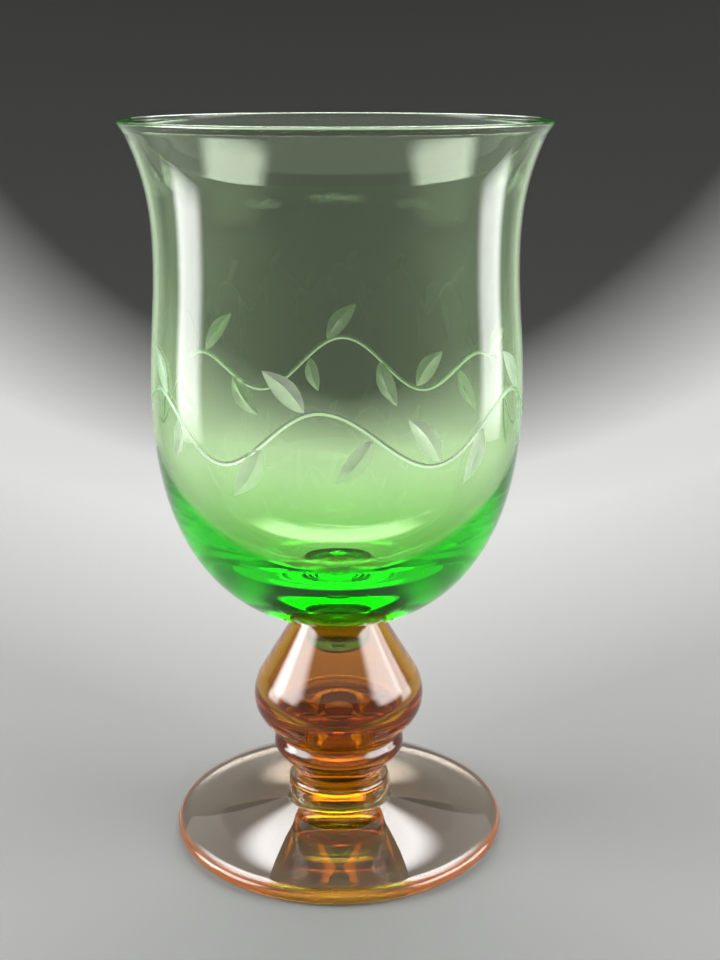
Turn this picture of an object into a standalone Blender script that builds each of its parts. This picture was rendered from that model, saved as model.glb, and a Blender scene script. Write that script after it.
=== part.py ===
"""A stemmed goblet blown in coloured glass: a green bowl, an amber hollow stem and a pale pink foot.

Every piece is turned about Z. The origin is on that axis, on the surface that the foot rests on, with +Z up.
Pieces that are fused on the real object keep GAP between them. Lengths are in metres.
"""

import math

import bpy

GAP = 0.0003  # left between two pieces that touch

# Foot: a disc that thins outwards, with a collar round the end of the stem
FOOT_RADIUS = 0.040
FOOT_EDGE = 0.0029  # thickness at the rounded edge
FOOT_RISE = 0.0078  # height of the disc where it meets the collar
REST_WIDTH = 0.008  # of the flat ring that the foot rests on
ARCH = 0.0006  # how far the underside lifts at the centre
COLLAR_WALL = 0.0014  # thickness of the collar where it is fullest
COLLAR_LIP = 0.0005  # and at its top edge
COLLAR_HEIGHT = 0.0056

# Column: the post inside the foot, and the stem's neck that carries on above it
COLUMN_RADIUS = 0.0108
POST_FLOOR = 0.0013  # glass left under the post
POST_HEIGHT = 0.0068

# Stem: a neck, a ring, a groove and a hollow knop, stacked upwards
NECK_LENGTH = 0.0066
RING_SLOPE = 0.0038  # height of the taper from the neck out to the ring
RING_RADIUS = 0.0158
RING_SECTION = 0.0030  # radius of the ring's own rounding
GROOVE_RADIUS = 0.0147
KNOP_RADIUS = 0.0205
KNOP_LOWER = 0.0098  # from the groove up to the widest level
KNOP_UPPER = 0.0219  # from the widest level up to the lip
KNOP_SHOULDER = 0.0116  # radius of the rounding above the widest level
KNOP_UNDERSIDE = 0.0090  # and of the one below it
LIP_WALL = 0.0013
KNOP_WALL = 0.0021
KNOP_FLOOR = 0.0060  # height of the hollow's floor above the groove
BORE_RADIUS = 0.0050  # of the hollow below that floor
BORE_DEPTH = 0.0120

# Button: the plug under the bowl, which fills the mouth of the stem
BUTTON_RADIUS = 0.0077
BUTTON_LENGTH = 0.0103

# Bowl
BOWL_HEIGHT = 0.1132
PAD_RADIUS = 0.0102  # of the flat spot that sits on the stem
BELLY_RADIUS = 0.0423
BELLY_LEVEL = 0.0535  # above the pad
WAIST_RADIUS = 0.0409
WAIST_LEVEL = 0.0835
RIM_RADIUS = 0.0476
BOWL_WALL = 0.0017
RIM_WALL = 0.0013
BOWL_FLOOR = 0.0085  # thickness of the bottom

# Shape of the bowl's curves
HEEL_POWERS = (2.4, 1.9)  # of the rounding from the bottom up to the belly
FLARE_POWER = 2.45  # of the lip that opens from the waist

# Heights that follow from the stack
POST_BASE = ARCH + POST_FLOOR
STEM_BASE = POST_BASE + POST_HEIGHT + GAP
RING_BASE = STEM_BASE + NECK_LENGTH
RING_LEVEL = RING_BASE + RING_SLOPE + RING_SECTION * math.sin(math.radians(60))
GROOVE_LEVEL = RING_LEVEL + RING_SECTION * math.sin(math.radians(70))
KNOP_LEVEL = GROOVE_LEVEL + KNOP_LOWER
STEM_TOP = KNOP_LEVEL + KNOP_UPPER
BOWL_BASE = STEM_TOP + GAP
BOWL_TOP = BOWL_BASE + BOWL_HEIGHT

COLLECTION = "goblet"


def clear_scene():
    for obj in list(bpy.data.objects):
        bpy.data.objects.remove(obj, do_unlink=True)


def arc(centre, radius, start, end, count, reach=None):
    """Points (radius, height) on an arc. Angles are in degrees, 0 outwards and 90 up. With reach, it is an
    ellipse that comes this far outwards."""
    points = []
    for i in range(count + 1):
        turn = math.radians(start + (end - start) * i / count)
        out = (radius if reach is None else reach) * math.cos(turn)
        points.append((centre[0] + out, centre[1] + radius * math.sin(turn)))
    return points


def superellipse(share, powers):
    """How far out, from 0 to 1, a rounding has come at this share of its height."""
    return (1 - (1 - share) ** powers[0]) ** (1 / powers[1])


def glass(name, colour, roughness):
    material = bpy.data.materials.new(name)
    material.use_nodes = True
    shader = material.node_tree.nodes["Principled BSDF"]
    shader.inputs["Base Color"].default_value = (*colour, 1)
    shader.inputs["Roughness"].default_value = roughness
    shader.inputs["Metallic"].default_value = 0
    shader.inputs["IOR"].default_value = 1.5
    shader.inputs["Transmission Weight"].default_value = 1
    return material


def turned(name, profile, steps, material, collection):
    """A solid turned from its half profile, which runs from the axis, down the outer side and back to the axis."""
    mesh = bpy.data.meshes.new(name)
    edges = [(i, i + 1) for i in range(len(profile) - 1)]
    mesh.from_pydata([(r, 0, z) for r, z in profile], edges, [])
    mesh.materials.append(material)
    obj = bpy.data.objects.new(name, mesh)
    collection.objects.link(obj)
    screw = obj.modifiers.new("turn", "SCREW")
    screw.axis = "Z"
    screw.angle = math.tau
    screw.steps = steps
    screw.render_steps = steps
    screw.use_merge_vertices = True
    screw.merge_threshold = 0.00001
    screw.use_smooth_shade = True
    return obj


def bowl_outer_radius(height):
    """Outer radius of the bowl at a height above its pad."""
    if height < BELLY_LEVEL:
        share = superellipse(height / BELLY_LEVEL, HEEL_POWERS)
        return PAD_RADIUS + (BELLY_RADIUS - PAD_RADIUS) * share
    if height < WAIST_LEVEL:
        share = (height - BELLY_LEVEL) / (WAIST_LEVEL - BELLY_LEVEL)
        return BELLY_RADIUS + (WAIST_RADIUS - BELLY_RADIUS) * (1 - math.cos(math.pi * share)) / 2
    share = (height - WAIST_LEVEL) / (BOWL_HEIGHT - WAIST_LEVEL)
    return WAIST_RADIUS + (RIM_RADIUS - WAIST_RADIUS) * share**FLARE_POWER


def bowl_inner_radius(height):
    """Inner radius of the bowl at a height above its pad."""
    if height < BELLY_LEVEL:
        share = superellipse((height - BOWL_FLOOR) / (BELLY_LEVEL - BOWL_FLOOR), HEEL_POWERS)
        return (BELLY_RADIUS - BOWL_WALL) * share
    share = (height - BELLY_LEVEL) / (BOWL_HEIGHT - BELLY_LEVEL)
    return bowl_outer_radius(height) - BOWL_WALL + (BOWL_WALL - RIM_WALL) * share


def rising_levels(low, high, count):
    """Heights from low to high, close together near low, where the curve turns most."""
    return [low + (high - low) * (i / count) ** 2 for i in range(count + 1)]


def bowl_profile():
    rim = RIM_WALL / 2
    heel_inside = rising_levels(BOWL_FLOOR, BELLY_LEVEL, 9)
    heel_outside = rising_levels(0, BELLY_LEVEL, 9)
    wall_count = 9
    wall = [
        BELLY_LEVEL + (BOWL_HEIGHT - rim - BELLY_LEVEL) * (i / wall_count)
        for i in range(1, wall_count + 1)
    ]
    inside = [(bowl_inner_radius(h), h) for h in heel_inside + wall[:-1]]
    bead = arc((RIM_RADIUS - rim, BOWL_HEIGHT - rim), rim, 180, 0, 4)
    outside = [(bowl_outer_radius(h), h) for h in wall[-2::-1] + heel_outside[::-1]]
    return [(r, BOWL_BASE + h) for r, h in inside + bead + outside + [(0, 0)]]


def button_profile():
    top = BOWL_BASE - GAP
    base = top - BUTTON_LENGTH
    corner = 0.45 * BUTTON_RADIUS
    return (
        [(0, top), (BUTTON_RADIUS, top)]
        + arc((BUTTON_RADIUS - corner, base + corner), corner, 0, -90, 4)
        + [(0, base)]
    )


def stem_outside():
    """The stem's outer side, from the lip down to the end that stands in the foot."""
    shoulder = (KNOP_RADIUS - KNOP_SHOULDER, KNOP_LEVEL)
    underside = (KNOP_RADIUS - KNOP_UNDERSIDE, KNOP_LEVEL)
    ring = (RING_RADIUS - RING_SECTION, RING_LEVEL)
    return (
        [(BUTTON_RADIUS + GAP + LIP_WALL, STEM_TOP)]
        + arc(shoulder, KNOP_SHOULDER, 34, 0, 4)
        + arc(underside, KNOP_UNDERSIDE, -15, -55, 4)
        + [(GROOVE_RADIUS, GROOVE_LEVEL)]
        + arc(ring, RING_SECTION, 45, -60, 5)
        + [(COLUMN_RADIUS, RING_BASE), (COLUMN_RADIUS, STEM_BASE), (0, STEM_BASE)]
    )


def stem_hollow():
    """The inside of the stem, from the bottom of its bore up to the mouth round the button."""
    mouth = BUTTON_RADIUS + GAP
    floor = GROOVE_LEVEL + KNOP_FLOOR
    bore_base = floor - BORE_DEPTH
    section = 0.0055
    corner = (KNOP_RADIUS - KNOP_WALL - section, max(KNOP_LEVEL, floor + section * 0.9))
    shoulder = (KNOP_RADIUS - KNOP_SHOULDER, KNOP_LEVEL)
    return (
        [(0, bore_base)]
        + arc((0, bore_base + BORE_RADIUS), BORE_RADIUS, -60, 0, 2)
        + [(BORE_RADIUS, floor - BORE_RADIUS / 4), (BORE_RADIUS * 1.2, floor)]
        + arc(corner, section, -60, 0, 4)
        + arc(shoulder, KNOP_SHOULDER - KNOP_WALL, 12, 34, 2)
        + [(mouth, STEM_TOP - 2 * LIP_WALL), (mouth, STEM_TOP)]
    )


def post_profile():
    top = POST_BASE + POST_HEIGHT
    return [(0, top), (COLUMN_RADIUS, top), (COLUMN_RADIUS, POST_BASE), (0, POST_BASE)]


def foot_profile():
    socket = COLUMN_RADIUS + GAP
    floor = POST_BASE - GAP
    half_collar = COLLAR_HEIGHT / 2
    collar = (socket + COLLAR_LIP, FOOT_RISE + half_collar)
    bulge = COLLAR_WALL - COLLAR_LIP
    edge = FOOT_EDGE / 2
    inner_rest = FOOT_RADIUS - edge - REST_WIDTH
    return (
        [(0, floor), (socket, floor), (socket, FOOT_RISE + COLLAR_HEIGHT)]
        + arc(collar, half_collar, 90, -60, 6, bulge)
        + foot_slope(socket + COLLAR_WALL)
        + arc((FOOT_RADIUS - edge, edge), edge, 60, -90, 5)
        + [(inner_rest, 0), (inner_rest / 2, 0.75 * ARCH), (0, ARCH)]
    )


def foot_slope(start):
    """The top of the disc: a shallow sweep that falls steeply at the collar and flattens towards the edge."""
    end = FOOT_RADIUS - FOOT_EDGE
    count = 6
    points = []
    for i in range(count + 1):
        share = i / count
        height = FOOT_EDGE + (FOOT_RISE - FOOT_EDGE) * (1 - share) ** 1.6
        points.append((start + (end - start) * share, height))
    return points


def main():
    clear_scene()
    collection = bpy.data.collections.new(COLLECTION)
    bpy.context.scene.collection.children.link(collection)

    green = glass("green glass", (0.10, 0.62, 0.12), 0.03)
    olive = glass("olive glass", (0.42, 0.40, 0.08), 0.04)
    amber = glass("amber glass", (0.85, 0.33, 0.03), 0.03)
    pink = glass("pink glass", (0.86, 0.66, 0.60), 0.03)

    turned("bowl", bowl_profile(), 60, green, collection)
    turned("bowl_button", button_profile(), 32, olive, collection)
    turned("stem", stem_hollow() + stem_outside(), 48, amber, collection)
    turned("foot_post", post_profile(), 40, olive, collection)
    turned("foot", foot_profile(), 64, pink, collection)


main()
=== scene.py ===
"""A stemmed goblet in coloured glass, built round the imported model.

Profiles are (radius, height) in millimetres. Fused pieces run a few hundredths of a millimetre into each
other.
"""

import math

import bpy
import numpy as np
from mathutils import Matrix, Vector
from mathutils.geometry import delaunay_2d_cdt


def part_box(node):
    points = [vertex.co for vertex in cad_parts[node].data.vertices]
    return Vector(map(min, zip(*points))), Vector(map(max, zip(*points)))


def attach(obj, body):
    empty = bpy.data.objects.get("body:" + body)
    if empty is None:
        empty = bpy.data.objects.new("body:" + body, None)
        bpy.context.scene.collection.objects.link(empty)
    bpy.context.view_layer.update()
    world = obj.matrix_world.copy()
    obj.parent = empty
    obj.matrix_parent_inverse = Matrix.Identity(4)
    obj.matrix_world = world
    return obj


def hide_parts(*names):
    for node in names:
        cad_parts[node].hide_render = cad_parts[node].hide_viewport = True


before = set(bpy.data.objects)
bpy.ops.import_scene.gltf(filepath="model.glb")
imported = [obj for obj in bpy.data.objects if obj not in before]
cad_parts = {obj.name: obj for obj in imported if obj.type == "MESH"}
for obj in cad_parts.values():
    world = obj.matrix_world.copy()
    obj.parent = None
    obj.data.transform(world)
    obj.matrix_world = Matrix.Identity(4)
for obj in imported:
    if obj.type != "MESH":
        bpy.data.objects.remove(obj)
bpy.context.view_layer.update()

MM = 0.001
TURN = math.tau
SHARP_ANGLE = math.radians(32)  # corners sharper than this keep a hard edge


# ---------------------------------------------------------------- sizes, in millimetres
def node_span(node):
    low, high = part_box(node)
    return low.z / MM, high.z / MM, high.x / MM


FOOT_LOW, COLLAR_TOP, FOOT_RADIUS = node_span("foot")
POST_LOW, POST_TOP, COLUMN_RADIUS = node_span("foot_post")
STEM_LOW, STEM_TOP, KNOP_RADIUS = node_span("stem")
BUTTON_LOW, BUTTON_TOP, BUTTON_RADIUS = node_span("bowl_button")
BOWL_LOW, BOWL_TOP, RIM_RADIUS = node_span("bowl")


# ---------------------------------------------------------------- curves
def arc(centre, radius, start, end, count, reach=None):
    turns = np.radians(np.linspace(start, end, count + 1))
    out = radius if reach is None else reach
    return [(centre[0] + out * math.cos(t), centre[1] + radius * math.sin(t)) for t in turns]


def smooth(points, per_span=6):
    """A centripetal Catmull-Rom curve through the points."""
    p = np.array(points, float)
    p = np.vstack([2 * p[0] - p[1], p, 2 * p[-1] - p[-2]])
    spans = np.linalg.norm(np.diff(p, axis=0), axis=1) ** 0.5
    knots = np.concatenate([[0], np.cumsum(spans)])
    out = []
    for i in range(1, len(p) - 2):
        t0, t1, t2, t3 = knots[i - 1 : i + 3]
        for t in np.linspace(t1, t2, per_span, endpoint=False):
            a1 = ((t1 - t) * p[i - 1] + (t - t0) * p[i]) / (t1 - t0)
            a2 = ((t2 - t) * p[i] + (t - t1) * p[i + 1]) / (t2 - t1)
            a3 = ((t3 - t) * p[i + 1] + (t - t2) * p[i + 2]) / (t3 - t2)
            b1 = ((t2 - t) * a1 + (t - t0) * a2) / (t2 - t0)
            b2 = ((t3 - t) * a2 + (t - t1) * a3) / (t3 - t1)
            out.append(tuple(((t2 - t) * b1 + (t - t1) * b2) / (t2 - t1)))
    out.append(tuple(p[-2]))
    return out


def lathe(name, profile, segments):
    """A closed solid turned from a profile that starts and ends on the axis."""
    inner = np.array(profile[1:-1], float) * MM
    rows = len(inner)
    turns = np.arange(segments) * TURN / segments
    ring = np.stack([np.cos(turns), np.sin(turns)], 1)
    verts = np.empty((rows, segments, 3))
    verts[:, :, :2] = inner[:, None, :1] * ring[None]
    verts[:, :, 2] = inner[:, None, 1]
    verts = verts.reshape(-1, 3).tolist()
    first, last = len(verts), len(verts) + 1
    verts += [(0, 0, profile[0][1] * MM), (0, 0, profile[-1][1] * MM)]
    faces = []
    for k in range(segments):
        n = (k + 1) % segments
        faces.append((first, k, n))
        faces.append((last, (rows - 1) * segments + n, (rows - 1) * segments + k))
        for i in range(rows - 1):
            a, b = i * segments, (i + 1) * segments
            faces.append((a + k, b + k, b + n, a + n))
    mesh = bpy.data.meshes.new(name)
    mesh.from_pydata(verts, [], faces)
    mesh.validate()
    mesh.shade_smooth()
    mesh.set_sharp_from_angle(angle=SHARP_ANGLE)
    obj = bpy.data.objects.new(name, mesh)
    bpy.context.scene.collection.objects.link(obj)
    return obj


# ---------------------------------------------------------------- bowl
BELLY_RADIUS, BELLY_LEVEL = 42.3, 53.5
WAIST_RADIUS, WAIST_LEVEL = 40.9, 83.5
PAD_RADIUS = 10.2
BOWL_WALL, RIM_WALL, BOWL_FLOOR = 1.3, 1.2, 7.3
BOWL_HEIGHT = BOWL_TOP - BOWL_LOW
OUTER_HEEL, INNER_HEEL = (2.4, 1.9), (2.7, 2.1)  # powers of the rounding from the bottom up to the belly
FLARE_POWER = 2.45  # of the lip that opens from the waist


def heel(share, across, along):
    """How far out the rounding is, from 0 at the bottom to 1 at the belly."""
    share = max(0.0, min(1.0, share))
    return (1 - (1 - share) ** across) ** (1 / along)


def bowl_outer(h):
    if h < BELLY_LEVEL:
        return PAD_RADIUS + (BELLY_RADIUS - PAD_RADIUS) * heel(h / BELLY_LEVEL, *OUTER_HEEL)
    if h < WAIST_LEVEL:
        share = (h - BELLY_LEVEL) / (WAIST_LEVEL - BELLY_LEVEL)
        return BELLY_RADIUS + (WAIST_RADIUS - BELLY_RADIUS) * (1 - math.cos(math.pi * share)) / 2
    share = (h - WAIST_LEVEL) / (BOWL_HEIGHT - WAIST_LEVEL)
    return WAIST_RADIUS + (RIM_RADIUS - WAIST_RADIUS) * share**FLARE_POWER


def bowl_inner(h):
    if h < BELLY_LEVEL:
        share = (h - BOWL_FLOOR) / (BELLY_LEVEL - BOWL_FLOOR)
        return (BELLY_RADIUS - BOWL_WALL) * heel(share, *INNER_HEEL)
    share = (h - BELLY_LEVEL) / (BOWL_HEIGHT - BELLY_LEVEL)
    return bowl_outer(h) - BOWL_WALL + (BOWL_WALL - RIM_WALL) * share


# ---------------------------------------------------------------- the engraved vine and leaves
# The band that holds the cuts is laid out flat, u along it and z up, then wrapped round the bowl.
BAND_LOW, BAND_HIGH = 88.0, 131.0
BAND_RADIUS = 42.2  # that it is unrolled at
BOWL_SEGMENTS = 256
VINE_LEVEL, VINE_SWING = 108.0, 6.2
VINE_HALF, VINE_DEPTH = 0.5, 0.2
VINE_STEPS = 480
CRESTS = (-4, 63, 121, 179, 237, 296)  # degrees round the bowl
SEAM_WAVE = 2  # the crest at the back, where the band's ends meet
LEAF_HALF, LEAF_DEPTH, LEAF_BASE = 2.35, 0.34, 12.0  # half width and depth of a leaf as long as LEAF_BASE
LEAF_BOW = 0.07  # how far the midrib bends aside, as a share of the leaf
LEAF_STEPS = 16
RUN_WAVES = 2  # waves that one run of leaves covers
ROW_STEP, POINT_STEP, CUT_CLEARANCE = 1.35, 1.5, 0.6  # of the plain wall's points
# waves past a crest, up or down, length, lean from upright in degrees
LEAVES = (
    (0.227, -1, 11.8, 40),
    (0.528, 1, 12.5, 38),
    (0.760, -1, 12.4, 24),
    (1.090, 1, 12.0, 40),
    (1.213, -1, 9.2, 14),
    (1.710, -1, 13.0, 33),
    (1.935, 1, 12.0, 48),
)


def crest(wave):
    """The turn at which a wave of the vine is highest."""
    return math.radians(CRESTS[wave % len(CRESTS)] + 360 * (wave // len(CRESTS)))


def vine(wave):
    """A point of the vine's middle and the direction across it, on the unrolled band."""
    first = math.floor(wave)
    share = wave - first
    span = BAND_RADIUS * (crest(first + 1) - crest(first))
    along = BAND_RADIUS * crest(first) + span * share
    place = np.array([along, VINE_LEVEL + VINE_SWING * math.cos(TURN * share)])
    slope = -VINE_SWING * TURN * math.sin(TURN * share) / span
    return place, np.array([-slope, 1.0]) / math.hypot(1, slope)


def leaf(wave, side, length, lean):
    """The midrib with its depths, and the two sides of a leaf."""
    place, across = vine(wave)
    base = place + side * across * (VINE_HALF + 0.1)
    lean = math.radians(lean)
    along = np.array([-math.sin(lean), side * math.cos(lean)])
    beside = side * np.array([along[1], -along[0]])
    rib, left, right, depths = [], [], [], []
    for share in np.linspace(0, 1, LEAF_STEPS + 1):
        half = LEAF_HALF * length / LEAF_BASE * max(0.0, math.sin(math.pi * share**0.88)) ** 0.85
        middle = base + along * length * share + beside * LEAF_BOW * length * math.sin(math.pi * share)
        rib.append(middle)
        left.append(middle + beside * half * 0.9)
        right.append(middle - beside * half * 1.1)
        depths.append(LEAF_DEPTH * half / LEAF_HALF)
    return rib, left[1:-1], right[1:-1], depths


def wall_point(u, z, depth=0.0):
    """A point of the band, wrapped round the bowl, with u = 0 at the front."""
    turn = u / BAND_RADIUS - math.pi / 2
    r = bowl_outer(z - BOWL_LOW) - depth
    return (r * MM * math.cos(turn), r * MM * math.sin(turn), z * MM)


def wall_normal(x, y, z):
    """The plain wall's own direction, which keeps its gloss smooth between the cuts."""
    h = z / MM - BOWL_LOW
    slope = (bowl_outer(h + 0.05) - bowl_outer(h - 0.05)) / 0.1
    n = Vector((x, y, -slope * math.hypot(x, y)))
    return n.normalized()


def inside(loop, point):
    """Whether a flat closed loop holds the point."""
    over = (loop[:, 1] > point[1]) != (np.roll(loop[:, 1], -1) > point[1])
    starts = loop[over]
    runs = np.roll(loop, -1, axis=0)[over] - starts
    cross = starts[:, 0] + (point[1] - starts[:, 1]) * runs[:, 0] / runs[:, 1]
    return np.count_nonzero(point[0] < cross) % 2 == 1


def engrave(seam, width):
    """The flat band: points, their depths, triangles, and each one's part.

    Part 0 is the plain wall, 1 the vine, and each side of a leaf has a number of its own.
    """
    points, depths, edges, shapes = [], [], [], []

    def add(point, depth=0.0):
        points.append(tuple(point))
        depths.append(depth)
        return len(points) - 1

    def join(run):
        edges.extend(zip(run[:-1], run[1:]))

    for level in (BAND_LOW, BAND_HIGH):
        join([add((seam + width * k / BOWL_SEGMENTS, level)) for k in range(BOWL_SEGMENTS + 1)])
    waves = np.linspace(SEAM_WAVE, SEAM_WAVE + len(CRESTS), VINE_STEPS + 1)
    middle = np.array([vine(w)[0] for w in waves])
    middle[-1] = middle[0] + (width, 0)
    for offset, depth in ((-VINE_HALF, 0.0), (0.0, VINE_DEPTH), (VINE_HALF, 0.0)):
        join([add(m + vine(w)[1] * offset, depth) for m, w in zip(middle, waves)])
    for start in range(SEAM_WAVE, SEAM_WAVE + len(CRESTS), RUN_WAVES):
        for wave, side, length, lean in LEAVES:
            rib, left, right, deep = leaf(wave + start, side, length, lean)
            ribs = [add(q, d) for q, d in zip(rib, deep)]
            join(ribs)
            for edge in (left, right):
                join([ribs[0]] + [add(q) for q in edge] + [ribs[-1]])
                shapes.append(np.array(rib + edge[::-1]))
    cuts = np.array(points)
    crossing = VINE_LEVEL + VINE_SWING
    for row, z in enumerate(np.arange(BAND_LOW + 1.4, BAND_HIGH - 1, ROW_STEP)):
        if abs(z - crossing) > 0.9:
            add((seam, z))
            add((seam + width, z))
        for u in np.arange(seam + 0.9 + 0.5 * POINT_STEP * (row % 2), seam + width - 0.7, POINT_STEP):
            if np.min((cuts[:, 0] - u) ** 2 + (cuts[:, 1] - z) ** 2) > CUT_CLEARANCE**2:
                add((u, z))
    flat = [Vector(q) for q in points]
    coords, _, triangles, origins, _, _ = delaunay_2d_cdt(flat, edges, [], 0, 1e-5)
    place = np.array([tuple(q) for q in coords])
    deep = [max([depths[i] for i in origin] + [0.0]) for origin in origins]
    parts = []
    for centre in place[np.array(triangles)].mean(axis=1):
        near = np.min(np.sum((middle - centre) ** 2, axis=1))
        part = 1 if near < VINE_HALF**2 else 0
        for k, shape in enumerate(shapes):
            near_leaf = abs(centre - shape[LEAF_STEPS // 2]).max() < 8
            if near_leaf and inside(shape, centre):
                part = 2 + k
        parts.append(part)
    return place, deep, triangles, parts


def make_bowl(name):
    """The engraved band, with turned rings above and below it, as one closed mesh."""
    seam = BAND_RADIUS * crest(SEAM_WAVE)
    width = BAND_RADIUS * TURN
    place, deep, triangles, parts = engrave(seam, width)
    verts, faces, kinds, index = [], [], [], {}

    def vertex(u, z, depth=0.0):
        along = (u - seam) if u - seam < width - 1e-3 else 0.0
        key = (round(along, 3), round(z, 3))
        if key not in index:
            index[key] = len(verts)
            verts.append(wall_point(seam + along, z, depth))
        return index[key]

    for triangle, part in zip(triangles, parts):
        face = [vertex(*place[i], deep[i]) for i in triangle]
        if len(set(face)) == 3:
            faces.append(face)
            kinds.append(part)
    steps = [seam + width * k / BOWL_SEGMENTS for k in range(BOWL_SEGMENTS)]

    def band_edge(level):
        on_edge = [(along, i) for (along, z), i in index.items() if abs(z - level) < 0.01]
        return [i for _, i in sorted(on_edge)]

    turns = [u / BAND_RADIUS - math.pi / 2 for u in steps]

    def ring(r, z):
        first = len(verts)
        verts.extend((r * MM * math.cos(t), r * MM * math.sin(t), z * MM) for t in turns)
        return list(range(first, first + BOWL_SEGMENTS))

    def skin(upper, lower, kind):
        for k in range(BOWL_SEGMENTS):
            n = (k + 1) % BOWL_SEGMENTS
            faces.append((upper[k], lower[k], lower[n], upper[n]))
            kinds.append(kind)

    def cap(centre, edge, turned):
        verts.append((0, 0, centre * MM))
        for k in range(BOWL_SEGMENTS):
            pair = (edge[k], edge[(k + 1) % BOWL_SEGMENTS])
            faces.append((len(verts) - 1, *(pair[::-1] if turned else pair)))
            kinds.append(0)

    above, below = bowl_parts()
    rings = [ring(r, z) for r, z in above[1:]] + [band_edge(BAND_HIGH)]
    cap(above[0][1], rings[0], False)
    for i in range(len(rings) - 1):
        skin(rings[i], rings[i + 1], 0 if i > len(rings) - 12 else -1)
    rings = [band_edge(BAND_LOW)] + [ring(r, z) for r, z in below[:-1]]
    for i in range(len(rings) - 1):
        skin(rings[i], rings[i + 1], 0 if below[i][1] > BOWL_LOW + 3 else -1)
    cap(below[-1][1], rings[-1], True)
    return finish_bowl(name, verts, faces, kinds)


def finish_bowl(name, verts, faces, kinds):
    mesh = bpy.data.meshes.new(name)
    mesh.from_pydata(verts, [], faces)
    mesh.shade_smooth()
    mesh.set_sharp_from_angle(angle=SHARP_ANGLE)
    mesh.attributes.new("cut", "FLOAT", "FACE").data.foreach_set("value", [float(k > 0) for k in kinds])
    beside = {}
    for polygon in mesh.polygons:
        for key in polygon.edge_keys:
            beside.setdefault(key, set()).add(max(kinds[polygon.index], 0))
    for edge in mesh.edges:
        if len(beside[edge.key]) > 1:
            edge.use_edge_sharp = True
    normals = [(0.0, 0.0, 0.0)] * len(mesh.loops)
    for polygon in mesh.polygons:
        if kinds[polygon.index] == 0:
            for i in polygon.loop_indices:
                normals[i] = wall_normal(*mesh.vertices[mesh.loops[i].vertex_index].co)
    mesh.normals_split_custom_set(normals)
    obj = bpy.data.objects.new(name, mesh)
    bpy.context.scene.collection.objects.link(obj)
    return obj


def bowl_parts():
    """The profile above the engraved band, from the axis over the rim, and below it, to the axis."""
    rim = RIM_WALL / 2
    low, high = BAND_LOW - BOWL_LOW, BAND_HIGH - BOWL_LOW
    inside_low = [BOWL_FLOOR + (BELLY_LEVEL - BOWL_FLOOR) * (i / 34) ** 2 for i in range(35)]
    inside_high = np.linspace(BELLY_LEVEL, BOWL_HEIGHT - rim, 36)[1:-1]
    above = [(bowl_inner(h), h) for h in inside_low + list(inside_high)]
    above += arc((RIM_RADIUS - rim, BOWL_HEIGHT - rim), rim, 180, 0, 10)
    above += [(bowl_outer(h), h) for h in np.linspace(high, BOWL_HEIGHT - rim, 24)[1:-1][::-1]]
    below = [(bowl_outer(h), h) for h in [low * (i / 34) ** 2 for i in range(34)][::-1]] + [(0, 0)]
    return [[(r, BOWL_LOW + h) for r, h in part] for part in (above, below)]


# ---------------------------------------------------------------- stem, button and post
SIDE_OVERLAP, LIP_OVERLAP, END_OVERLAP = 0.02, 0.03, 0.05  # how far fused pieces run into each other
KNOP_LEVEL = 34.617  # where the knop is widest
KNOP_SHOULDER, KNOP_UNDERSIDE = 11.6, 9.0  # radii of its rounding above and below
RING_LEVEL, RING_CENTRE, RING_SECTION = 21.998, 12.8, 3.0
GROOVE = (14.7, 24.8)  # between the ring and the knop
NECK = [(11.8, 16.2), (COLUMN_RADIUS, 14.4)]  # where the ring tapers into the column
BORE = [(0, 18.8), (3, 19.5), (5, 23.8), (5.2, 29), (7, 30.6)]  # the hollow's narrow lower end
MOUTH, MOUTH_LEVEL, LIP_WALL = BUTTON_RADIUS + 0.3, 53.6, 1.3


def stem_profile():
    lip = BOWL_LOW + LIP_OVERLAP
    outside = smooth(
        [(MOUTH + LIP_WALL, STEM_TOP)]
        + arc((KNOP_RADIUS - KNOP_SHOULDER, KNOP_LEVEL), KNOP_SHOULDER, 34, 0, 5)
        + arc((KNOP_RADIUS - KNOP_UNDERSIDE, KNOP_LEVEL), KNOP_UNDERSIDE, -15, -55, 4)
        + [GROOVE]
        + arc((RING_CENTRE, RING_LEVEL), RING_SECTION, 45, -60, 5)
        + NECK
    )
    outside[0] = (outside[0][0], lip)
    hollow = smooth(
        BORE
        + arc((12.6, 35.8), 5.0, -60, 0, 4)
        + arc((8.6, KNOP_LEVEL), 9.0, 16, 36, 2)
        + [(MOUTH, MOUTH_LEVEL)]
    )
    return hollow + [(MOUTH, lip)] + outside + [(COLUMN_RADIUS, STEM_LOW), (0, STEM_LOW)]


def button_profile():
    """The plug: a little wider where it fills the mouth, and rounded below."""
    corner = 0.45 * BUTTON_RADIUS
    top = BOWL_LOW + END_OVERLAP
    filling = BUTTON_RADIUS + 0.35
    return (
        [(0, top), (filling, top), (filling, 54.0), (BUTTON_RADIUS, 53.0)]
        + arc((BUTTON_RADIUS - corner, BUTTON_LOW + corner), corner, 0, -90, 10)
        + [(0, BUTTON_LOW)]
    )


def post_profile():
    radius, top = COLUMN_RADIUS + SIDE_OVERLAP, STEM_LOW + END_OVERLAP
    return [(0, top), (radius, top), (radius, POST_LOW), (0, POST_LOW)]


# ---------------------------------------------------------------- foot
COLLAR_HALF = 2.8  # half the collar's height
COLLAR_CENTRE, COLLAR_BULGE, COLLAR_WALL = 0.8, 0.9, 1.7  # out from the socket
EDGE_ROUND = 1.65  # radius of the foot's edge
SLOPE_POWER, SLOPE_STEPS = 1.6, 30
REST_WIDTH, ARCH = 8, 0.6  # of the ring it stands on, and how far the underside lifts inside that


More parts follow.
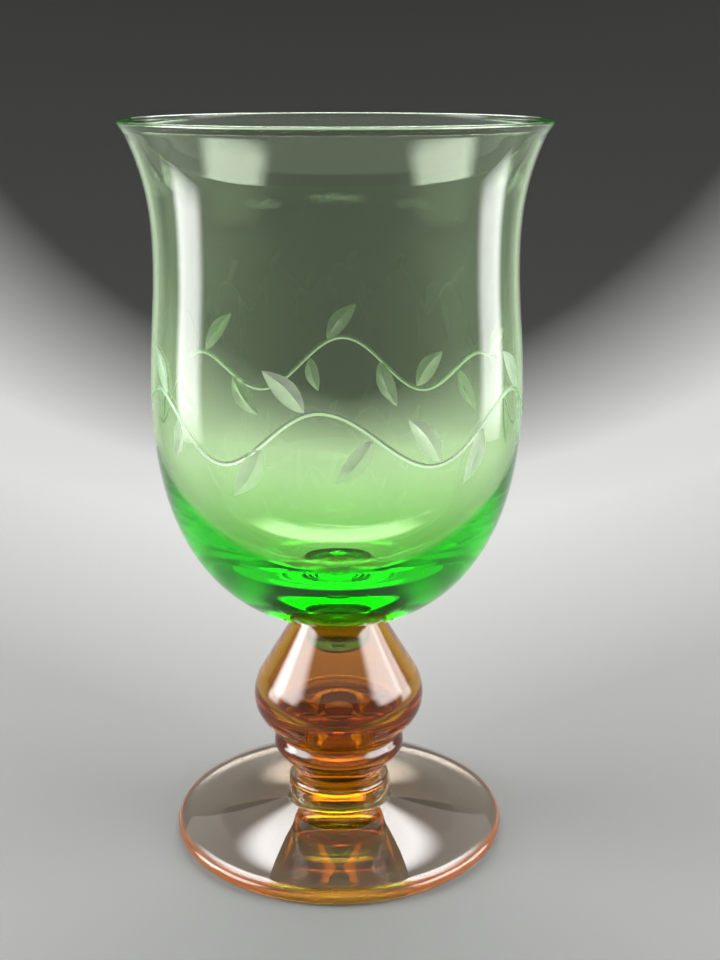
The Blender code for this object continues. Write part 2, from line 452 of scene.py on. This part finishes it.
def foot_profile():
    socket = COLUMN_RADIUS - SIDE_OVERLAP
    floor = POST_LOW + SIDE_OVERLAP
    thick = 2 * EDGE_ROUND
    rise = COLLAR_TOP - 2 * COLLAR_HALF
    collar = (socket + COLLAR_CENTRE, rise + COLLAR_HALF)
    start, end = socket + COLLAR_WALL, FOOT_RADIUS - thick
    slope = []
    for i in range(SLOPE_STEPS + 1):
        share = i / SLOPE_STEPS
        fall = (1 - share) ** SLOPE_POWER
        slope.append((start + (end - start) * share, thick + (rise - thick) * fall))
    inner_rest = FOOT_RADIUS - EDGE_ROUND - REST_WIDTH
    return (
        [(0, floor), (socket, floor), (socket, COLLAR_TOP)]
        + arc(collar, COLLAR_HALF, 90, -60, 14, COLLAR_BULGE)
        + slope
        + arc((FOOT_RADIUS - EDGE_ROUND, EDGE_ROUND), EDGE_ROUND, 60, -90, 12)
        + [(inner_rest, 0), (inner_rest / 2, 0.75 * ARCH), (0, ARCH)]
    )


# ---------------------------------------------------------------- materials
GLASS_IOR = 1.5
CUT_CLEARNESS = 0.90  # the cuts let a little less through


def glass(name, pale, deep, absorb, density, ripple=(30, 30, 6), ripple_depth=0.02, worn=0.0):
    """Tinted glass: ripples, small seeds, faint smudges, satin where it is cut, and a worn foot.

    pale and deep tint the surface, absorb and density the thickness. ripple is waves a metre along each axis,
    ripple_depth is in millimetres, and worn is how rough the ring that it stands on is.
    """
    m = bpy.data.materials.new(name)
    m.use_nodes = True
    nt = m.node_tree
    shader = nt.nodes["Principled BSDF"]
    shader.inputs["IOR"].default_value = GLASS_IOR
    volume = nt.nodes.new("ShaderNodeVolumeAbsorption")
    volume.inputs["Color"].default_value = (*absorb, 1)
    volume.inputs["Density"].default_value = density
    nt.links.new(volume.outputs[0], nt.nodes["Material Output"].inputs["Volume"])

    def node(kind, operation=None, **values):
        """A node with its inputs set or linked, by name or as i0, i1 and so on by number."""
        n = nt.nodes.new("ShaderNode" + kind)
        if operation:
            n.operation = operation
        for key, value in values.items():
            socket = n.inputs[int(key[1:]) if key[1:].isdigit() else key]
            if isinstance(value, bpy.types.NodeSocket):
                nt.links.new(value, socket)
            else:
                socket.default_value = value
        return n

    place = node("TexCoord").outputs["Object"]
    cut = node("Attribute")
    cut.attribute_name = "cut"
    cut = cut.outputs["Fac"]
    # long soft ripples
    stretched = node("VectorMath", "MULTIPLY", i0=place, i1=ripple)
    waves = node("TexNoise", Vector=stretched.outputs[0], Scale=1.0, Detail=1.5, Roughness=0.4)
    ripples = node("Bump", Strength=1.0, Distance=ripple_depth * MM, Height=waves.outputs["Fac"])
    # seeds: a few small bubbles near the surface
    seed = node("TexVoronoi", Vector=place, Scale=95.0)
    dots = node("MapRange", Value=seed.outputs["Distance"], i1=0.0, i2=0.035, i3=1.0, i4=0.0)
    chance = node("SeparateColor", i0=seed.outputs["Color"])
    rare = node("Math", "GREATER_THAN", i0=chance.outputs[0], i1=0.72)
    seeds = node("Math", "MULTIPLY", i0=dots.outputs[0], i1=rare.outputs[0]).outputs[0]
    bubbles = node("Bump", Strength=1.0, Distance=0.12 * MM, Height=seeds, Normal=ripples.outputs[0])
    # the wheel's fine marks on the cuts
    marks = node("TexNoise", Vector=place, Scale=2600.0, Detail=2.0, Roughness=0.6).outputs["Fac"]
    satin = node("Bump", Strength=cut, Distance=0.02 * MM, Height=marks, Normal=bubbles.outputs[0])
    nt.links.new(satin.outputs[0], shader.inputs["Normal"])
    # smudges, satin cuts and the rubbed ring it stands on
    film = node("TexNoise", Vector=place, Scale=42.0, Detail=5.0, Roughness=0.65).outputs["Fac"]
    smudge = node("MapRange", Value=film, i1=0.52, i2=0.78, i3=0.0, i4=0.07).outputs[0]
    grain = node("MapRange", Value=marks, i1=0.3, i2=0.7, i3=0.34, i4=0.46).outputs[0]
    rough = node("Mix", i0=cut, i2=smudge, i3=grain).outputs[0]
    if worn:
        low = node("SeparateXYZ", i0=place).outputs["Z"]
        rub = node("MapRange", Value=low, i1=0.00002, i2=0.0001, i3=worn, i4=0.0).outputs[0]
        scratch = node("TexNoise", Vector=place, Scale=900.0, Detail=4.0).outputs["Fac"]
        rub = node("Math", "MULTIPLY", i0=rub, i1=scratch).outputs[0]
        rough = node("Math", "MAXIMUM", i0=rough, i1=rub).outputs[0]
    nt.links.new(rough, shader.inputs["Roughness"])
    clear = node("MapRange", Value=cut, i3=1.0, i4=CUT_CLEARNESS).outputs[0]
    nt.links.new(clear, shader.inputs["Transmission Weight"])
    # the tint wanders a little, as it does where the gather was thicker
    drift = node("TexNoise", Vector=place, Scale=22.0, Detail=2.0).outputs["Fac"]
    tint = node("Mix")
    tint.data_type = "RGBA"
    nt.links.new(drift, tint.inputs[0])
    tint.inputs[6].default_value = (*pale, 1)
    tint.inputs[7].default_value = (*deep, 1)
    nt.links.new(tint.outputs[2], shader.inputs["Base Color"])
    return m


def dress(obj, material, slot, *nodes):
    """Gives a piece its material and its place in the model."""
    obj.data.materials.append(material)
    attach(obj, "root")
    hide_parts(*nodes)


green = glass("green_glass", (0.98, 1, 0.95), (0.95, 1, 0.90), (0.38, 0.98, 0.05), 155)
olive = glass("olive_glass", (1, 1, 0.97), (0.96, 0.97, 0.90), (0.78, 0.86, 0.15), 190)
amber = glass(
    "amber_glass", (0.75, 0.46, 0.15), (0.70, 0.40, 0.11), (0.978, 0.92, 0.125), 450, (14, 14, 60), 0.03
)
pink = glass(
    "pink_glass", (1, 0.985, 0.97), (0.99, 0.96, 0.945), (0.96, 0.60, 0.10), 36, (26, 26, 26), worn=0.25
)

dress(make_bowl("bowl_glass"), green, "green_glass", "bowl")
dress(lathe("bowl_button_glass", button_profile(), 96), olive, "olive_glass", "bowl_button")
dress(lathe("stem_glass", stem_profile(), 192), amber, "amber_glass", "stem")
dress(lathe("foot_post_glass", post_profile(), 96), olive, "olive_glass", "foot_post")
dress(lathe("foot_glass", foot_profile(), 256), pink, "pink_glass", "foot")


# ---------------------------------------------------------------- stage, lights, camera
STAGE_FLOOR, STAGE_COVE, STAGE_TOP = 340.0, 400.0, 420.0  # flat radius, rounding and height, in millimetres
STAGE_SEGMENTS = 96
STAGE_LEVEL = -0.1  # just under the foot
STAGE_PAINTED_LIGHT_TONES = ((0.02, 0.15), (0.20, 0.27), (0.27, 0.27), (0.42, 0.016))  # metres behind the glass, and the shade painted there: a painted band of light behind the glass and painted shade beyond it


def paint_with_painted_light(name):
    """Matt paint: pale grey, with a painted band of light behind the glass and painted shade, dark, beyond
    that.
    """
    m = bpy.data.materials.new(name)
    m.use_nodes = True
    nt = m.node_tree
    shader = nt.nodes["Principled BSDF"]
    shader.inputs["Roughness"].default_value = 0.9
    shader.inputs["Specular IOR Level"].default_value = 0.2
    geo = nt.nodes.new("ShaderNodeNewGeometry")
    behind = nt.nodes.new("ShaderNodeVectorMath")
    behind.operation = "MULTIPLY"
    behind.inputs[1].default_value = (0.72, 1.0, 1.0)
    nt.links.new(geo.outputs["Position"], behind.inputs[0])
    split = nt.nodes.new("ShaderNodeSeparateXYZ")
    nt.links.new(behind.outputs[0], split.inputs[0])
    side = nt.nodes.new("ShaderNodeMath")
    side.operation = "ABSOLUTE"
    nt.links.new(split.outputs["X"], side.inputs[0])
    reach = nt.nodes.new("ShaderNodeMath")
    reach.operation = "SUBTRACT"
    nt.links.new(split.outputs["Y"], reach.inputs[0])
    nt.links.new(side.outputs[0], reach.inputs[1])
    # this ramp paints a band of light onto the floor behind the glass and painted shade beyond it
    ramp = nt.nodes.new("ShaderNodeValToRGB")
    nt.links.new(reach.outputs[0], ramp.inputs[0])
    stops = ramp.color_ramp.elements
    stops[0].position, stops[-1].position = STAGE_PAINTED_LIGHT_TONES[0][0], STAGE_PAINTED_LIGHT_TONES[-1][0]
    for place, _ in STAGE_PAINTED_LIGHT_TONES[1:-1]:
        stops.new(place)
    for stop, (_, tone) in zip(stops, STAGE_PAINTED_LIGHT_TONES):
        stop.color = (tone, tone, 0.975 * tone, 1)
    nt.links.new(ramp.outputs[0], shader.inputs["Base Color"])
    return m


def make_stage():
    """A round floor that curves up into a wall."""
    cove = arc((STAGE_FLOOR, STAGE_COVE + STAGE_LEVEL), STAGE_COVE, -90, 0, 16)
    points = [(STAGE_FLOOR, STAGE_LEVEL)] + cove[1:] + [(STAGE_FLOOR + STAGE_COVE, STAGE_TOP)]
    count = STAGE_SEGMENTS
    turns = np.arange(count) * TURN / count
    verts = [(0, 0, STAGE_LEVEL * MM)]
    for r, z in points:
        verts += [(r * MM * math.cos(t), r * MM * math.sin(t), z * MM) for t in turns]
    faces = [(0, 1 + k, 1 + (k + 1) % count) for k in range(count)]
    for i in range(len(points) - 1):
        a, b = 1 + i * count, 1 + (i + 1) * count
        faces += [(a + k, b + k, b + (k + 1) % count, a + (k + 1) % count) for k in range(count)]
    mesh = bpy.data.meshes.new("stage")
    mesh.from_pydata(verts, [], faces)
    mesh.shade_smooth()
    mesh.materials.append(paint_with_painted_light("stage"))
    obj = bpy.data.objects.new("stage", mesh)
    bpy.context.scene.collection.objects.link(obj)


def softbox(name, place, size, strength, target=(0, 0, 0.1), seen_through=False):
    """A glow that fades towards its edges. It shows in reflections, and through glass only if asked to."""
    m = bpy.data.materials.new(name)
    m.use_nodes = True
    nt = m.node_tree
    nt.nodes.clear()
    out = nt.nodes.new("ShaderNodeOutputMaterial")
    glow = nt.nodes.new("ShaderNodeEmission")
    split = nt.nodes.new("ShaderNodeSeparateXYZ")
    nt.links.new(nt.nodes.new("ShaderNodeTexCoord").outputs["Generated"], split.inputs[0])
    fades = []
    for axis in "XY":
        wave = nt.nodes.new("ShaderNodeMath")
        wave.operation = "PINGPONG"
        wave.inputs[1].default_value = 0.5
        nt.links.new(split.outputs[axis], wave.inputs[0])
        fade = nt.nodes.new("ShaderNodeMapRange")
        fade.interpolation_type = "SMOOTHSTEP"
        fade.inputs[2].default_value = 0.28
        nt.links.new(wave.outputs[0], fade.inputs[0])
        fades.append(fade.outputs[0])
    both = nt.nodes.new("ShaderNodeMath")
    both.operation = "MULTIPLY"
    power = nt.nodes.new("ShaderNodeMath")
    power.operation = "MULTIPLY"
    power.inputs[1].default_value = strength
    nt.links.new(fades[0], both.inputs[0])
    nt.links.new(fades[1], both.inputs[1])
    nt.links.new(both.outputs[0], power.inputs[0])
    nt.links.new(power.outputs[0], glow.inputs["Strength"])
    see_through = nt.nodes.new("ShaderNodeBsdfTransparent")
    added = nt.nodes.new("ShaderNodeAddShader")
    nt.links.new(glow.outputs[0], added.inputs[0])
    nt.links.new(see_through.outputs[0], added.inputs[1])
    nt.links.new(added.outputs[0], out.inputs["Surface"])
    w, h = size[0] / 2, size[1] / 2
    mesh = bpy.data.meshes.new(name)
    mesh.from_pydata([(-w, -h, 0), (w, -h, 0), (w, h, 0), (-w, h, 0)], [], [(0, 1, 2, 3)])
    mesh.materials.append(m)
    obj = bpy.data.objects.new(name, mesh)
    bpy.context.scene.collection.objects.link(obj)
    obj.location = place
    obj.rotation_euler = (Vector(target) - Vector(place)).to_track_quat("Z", "Y").to_euler()
    obj.visible_camera = False
    obj.visible_transmission = seen_through


make_stage()
softbox("left_window", (-0.50, -0.10, 0.30), (0.56, 0.50), 12)
softbox("right_window", (0.50, -0.12, 0.30), (0.56, 0.50), 12)
softbox("left_strip", (-0.36, 0.03, 0.12), (0.18, 0.28), 10)
softbox("right_strip", (0.35, 0.08, 0.12), (0.18, 0.28), 8)
softbox("back_window", (0, 0.44, 0.56), (0.76, 0.34), 12, (0, 0, 0.05), seen_through=True)

world = bpy.data.worlds.new("world")
bpy.context.scene.world = world
world.use_nodes = True
world.node_tree.nodes["Background"].inputs[0].default_value = (1, 1, 1, 1)
world.node_tree.nodes["Background"].inputs[1].default_value = 0.8

camera = bpy.data.objects.new("camera", bpy.data.cameras.new("camera"))
bpy.context.scene.collection.objects.link(camera)
camera.location = (0.0052, -0.3167, 0.1801)
camera.rotation_euler = (math.radians(90 - 16.2), 0, 0)
camera.data.sensor_width = 36
camera.data.lens = 52.9
camera.data.clip_start = 0.01
bpy.context.scene.camera = camera

bpy.context.scene.view_settings.view_transform = "Standard"
# light crosses many surfaces in thick glass, and is reflected inside it again and again
bpy.context.scene.cycles.max_bounces = 48
bpy.context.scene.cycles.transmission_bounces = 48
bpy.context.scene.cycles.glossy_bounces = 48
